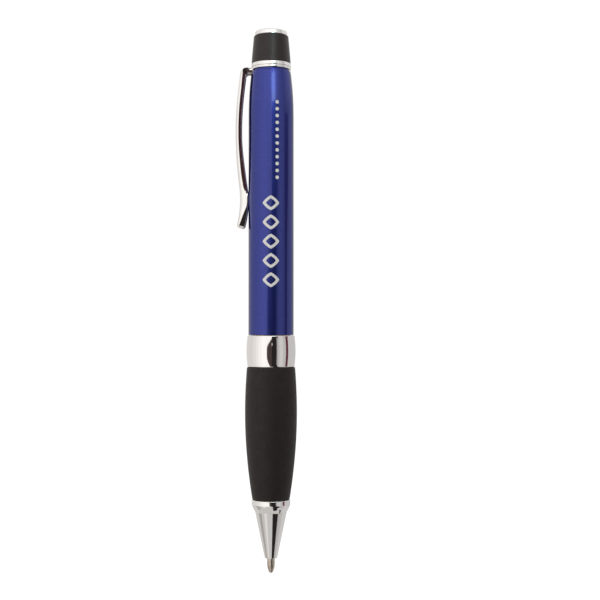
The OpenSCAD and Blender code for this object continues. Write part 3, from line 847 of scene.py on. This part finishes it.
SEEN_WHITE, LIT_WHITE = 1.02, 0.72   # the world's strength for the camera and for everything else


def edge(start, *moves):
    """A card edge's azimuth by height: start, and for each move (z0, z1, turn) a smooth turn between z0 and z1."""
    return lambda z: start + sum(turn * ease((z - z0) / (z1 - z0)) for z0, z1, turn in moves)


RIGHT_EDGE = edge(28, (-0.01, -0.08, 29))
# Cards in front of the panels: name, left and right edges, bottom, top, strength, colour, how far they stand
# in front of CARD_R, and rows of faces
CARDS = [
    ("figure_card", edge(-18, (0.066, 0.146, 29), (0.025, -0.1, 33)), RIGHT_EDGE, PANEL_FOOT, CARD_TOP,
     0.065, BROWN, 0, 60),
    ("black_card", edge(5, (-0.04, -0.13, 9)), RIGHT_EDGE, PANEL_FOOT, CARD_TOP, 0.022, NEAR_BLACK, 0.002, 60),
    ("band_spot", edge(4), edge(8), 0.081, 0.094, 0.62, WHITE, 0.006, 1),
    ("clip_card", edge(12), edge(36), CARD_TOP, RINGS_FROM, 0.034, DARK_RED, 0.004, 1),
    ("clip_card_mid", edge(26), edge(36), 0.140, CARD_TOP, 0.046, MAROON, 0.004, 1),
    ("clip_card_low", edge(26), edge(36), 0.121, 0.140, 0.10, DUSKY_RED, 0.004, 1),
    ("red_card", edge(75, (0.1, 0.13, -2)), edge(89, (0.1, 0.13, 8)), -0.035, CARD_TOP - 0.01, 0.125, RED, 0, 30),
    ("top_light", edge(4), edge(21), RINGS_FROM, TOP_LIGHT_TOP, 4.6, COLD, 0, 1),
    ("top_light_edge", edge(21), edge(27), RINGS_FROM, TOP_LIGHT_TOP, 2.2, COLD, 0, 1),
]
# Level cards under the pen: name, height, corners (radius, azimuth), strength and colour
GROUND_CARDS = [
    ("ground_card", PANEL_FOOT, [(PANEL_R, 5 * i) for i in range(72)], 0.62, WARM),
    ("ground_dark", PANEL_FOOT + 0.001, [(0.276, 10), (0.276, 31), (0.276, 54), (0.150, 50), (0.150, 26)],
     BLACK, WHITE),
    ("ground_spot", PANEL_FOOT + 0.001, [(0.235, 74), (0.235, 98), (0.190, 98), (0.190, 74)], BLACK, WHITE),
]


def emitter(name, strength, color):
    """A material that only glows."""
    mat = bpy.data.materials.new(name)
    mat.use_nodes = True
    mat.node_tree.nodes.clear()
    out = mat.node_tree.nodes.new("ShaderNodeOutputMaterial")
    glow = mat.node_tree.nodes.new("ShaderNodeEmission")
    glow.inputs["Color"].default_value = (*color, 1)
    glow.inputs["Strength"].default_value = strength
    mat.node_tree.links.new(glow.outputs["Emission"], out.inputs["Surface"])
    return mat


def studio_piece(name, verts, faces, mat, seen=False):
    """A piece of the studio, which the camera sees only if seen is true."""
    mesh = bpy.data.meshes.new(name)
    mesh.from_pydata(verts, [], faces)
    mesh.materials.append(mat)
    made = bpy.data.objects.new(name, mesh)
    bpy.context.scene.collection.objects.link(made)
    made.visible_camera = seen


def round_pen(radius, azimuth, z):
    """A point by its azimuth in degrees; 0 is in front of the pen (-Y), and positive is towards +X."""
    a = math.radians(azimuth)
    return radius * math.sin(a), -radius * math.cos(a), z


def panel(name, left, right, bottom, top, strength, color, radius=PANEL_R, rows=1):
    """A curved panel round the pen. left(z) and right(z) are its edges' azimuths in degrees."""
    steps = 12
    verts, faces = [], []
    for row in range(rows + 1):
        z = bottom + (top - bottom) * row / rows
        for i in range(steps + 1):
            verts.append(round_pen(radius, left(z) + (right(z) - left(z)) * i / steps, z))
    for row in range(rows):
        for i in range(steps):
            k = row * (steps + 1) + i
            faces.append((k, k + 1, k + steps + 2, k + steps + 1))
    studio_piece(name, verts, faces, emitter(name, strength, color))


def panel_row(name, panels, bottom, top):
    """A row of panels all round the pen."""
    start = -180
    for end, strength in panels:
        color = WARM if end <= FRONT_RIGHT else NEUTRAL
        panel(f"{name}_{start + 180}", edge(start), edge(end), bottom, top, strength, color)
        start = end


def cards():
    """Cards that draw the dark stripes down the pen, and the light at its top."""
    for name, left, right, bottom, top, strength, color, nearer, rows in CARDS:
        panel(name, left, right, bottom, top, strength, color, CARD_R - nearer, rows)
    for name, z, points, strength, color in GROUND_CARDS:
        corners = [round_pen(radius, azimuth, z) for radius, azimuth in points]
        studio_piece(name, corners, [tuple(range(len(corners)))], emitter(name, strength, color))


def floor():
    size = 4.0
    corners = [(-size, -size, FLOOR_Z), (size, -size, FLOOR_Z), (size, size, FLOOR_Z), (-size, size, FLOOR_Z)]
    m = Nodes("floor_white", (0.5, 0.5, 0.5), roughness=0.8)
    m.set("Emission Color", (1, 1, 1, 1))
    m.set("Emission Strength", FLOOR_GLOW)
    studio_piece("floor", corners, [(0, 1, 2, 3)], m.mat, seen=True)


def world():
    """White to the camera, a little darker in reflections and as light."""
    made = bpy.data.worlds.new("studio")
    bpy.context.scene.world = made
    made.use_nodes = True
    tree = made.node_tree
    back = tree.nodes["Background"]
    back.inputs["Color"].default_value = (1, 1, 1, 1)
    path = tree.nodes.new("ShaderNodeLightPath")
    level = tree.nodes.new("ShaderNodeMapRange")
    level.inputs["To Min"].default_value = LIT_WHITE
    level.inputs["To Max"].default_value = SEEN_WHITE
    tree.links.new(path.outputs["Is Camera Ray"], level.inputs["Value"])
    tree.links.new(level.outputs["Result"], back.inputs["Strength"])


def studio():
    world()
    floor()
    panel_row("top", TOP_PANELS, RINGS_FROM, PANEL_TOP)
    panel_row("upper", UPPER_PANELS, PANEL_SEAM, RINGS_FROM)
    panel_row("lower", LOWER_PANELS, PANEL_FOOT, PANEL_SEAM)
    cards()


EYE = (7.49, -310, 65)    # mm
PITCH_UP = 0.99           # degrees
LENS, SENSOR = 71.9, 36   # mm


def camera():
    """Level with the barrel's foot, a little to the right of the pen and pitched up a degree."""
    made = bpy.data.cameras.new("camera")
    made.sensor_width = SENSOR
    made.lens = LENS
    made.clip_start = 0.01
    eye = bpy.data.objects.new("camera", made)
    eye.location = Vector(EYE) * MM
    eye.rotation_euler = (math.radians(90 + PITCH_UP), 0, 0)
    bpy.context.scene.collection.objects.link(eye)
    bpy.context.scene.camera = eye


paint_inner_nodes()
nose_cone()
grip_sleeve()
centre_band()
upper_barrel()
rings()
end_cap()
finial()
clip()
refill_tip()
ball()
return_spring()
pad_print()
studio()
camera()
bpy.context.scene.view_settings.view_transform = "Standard"
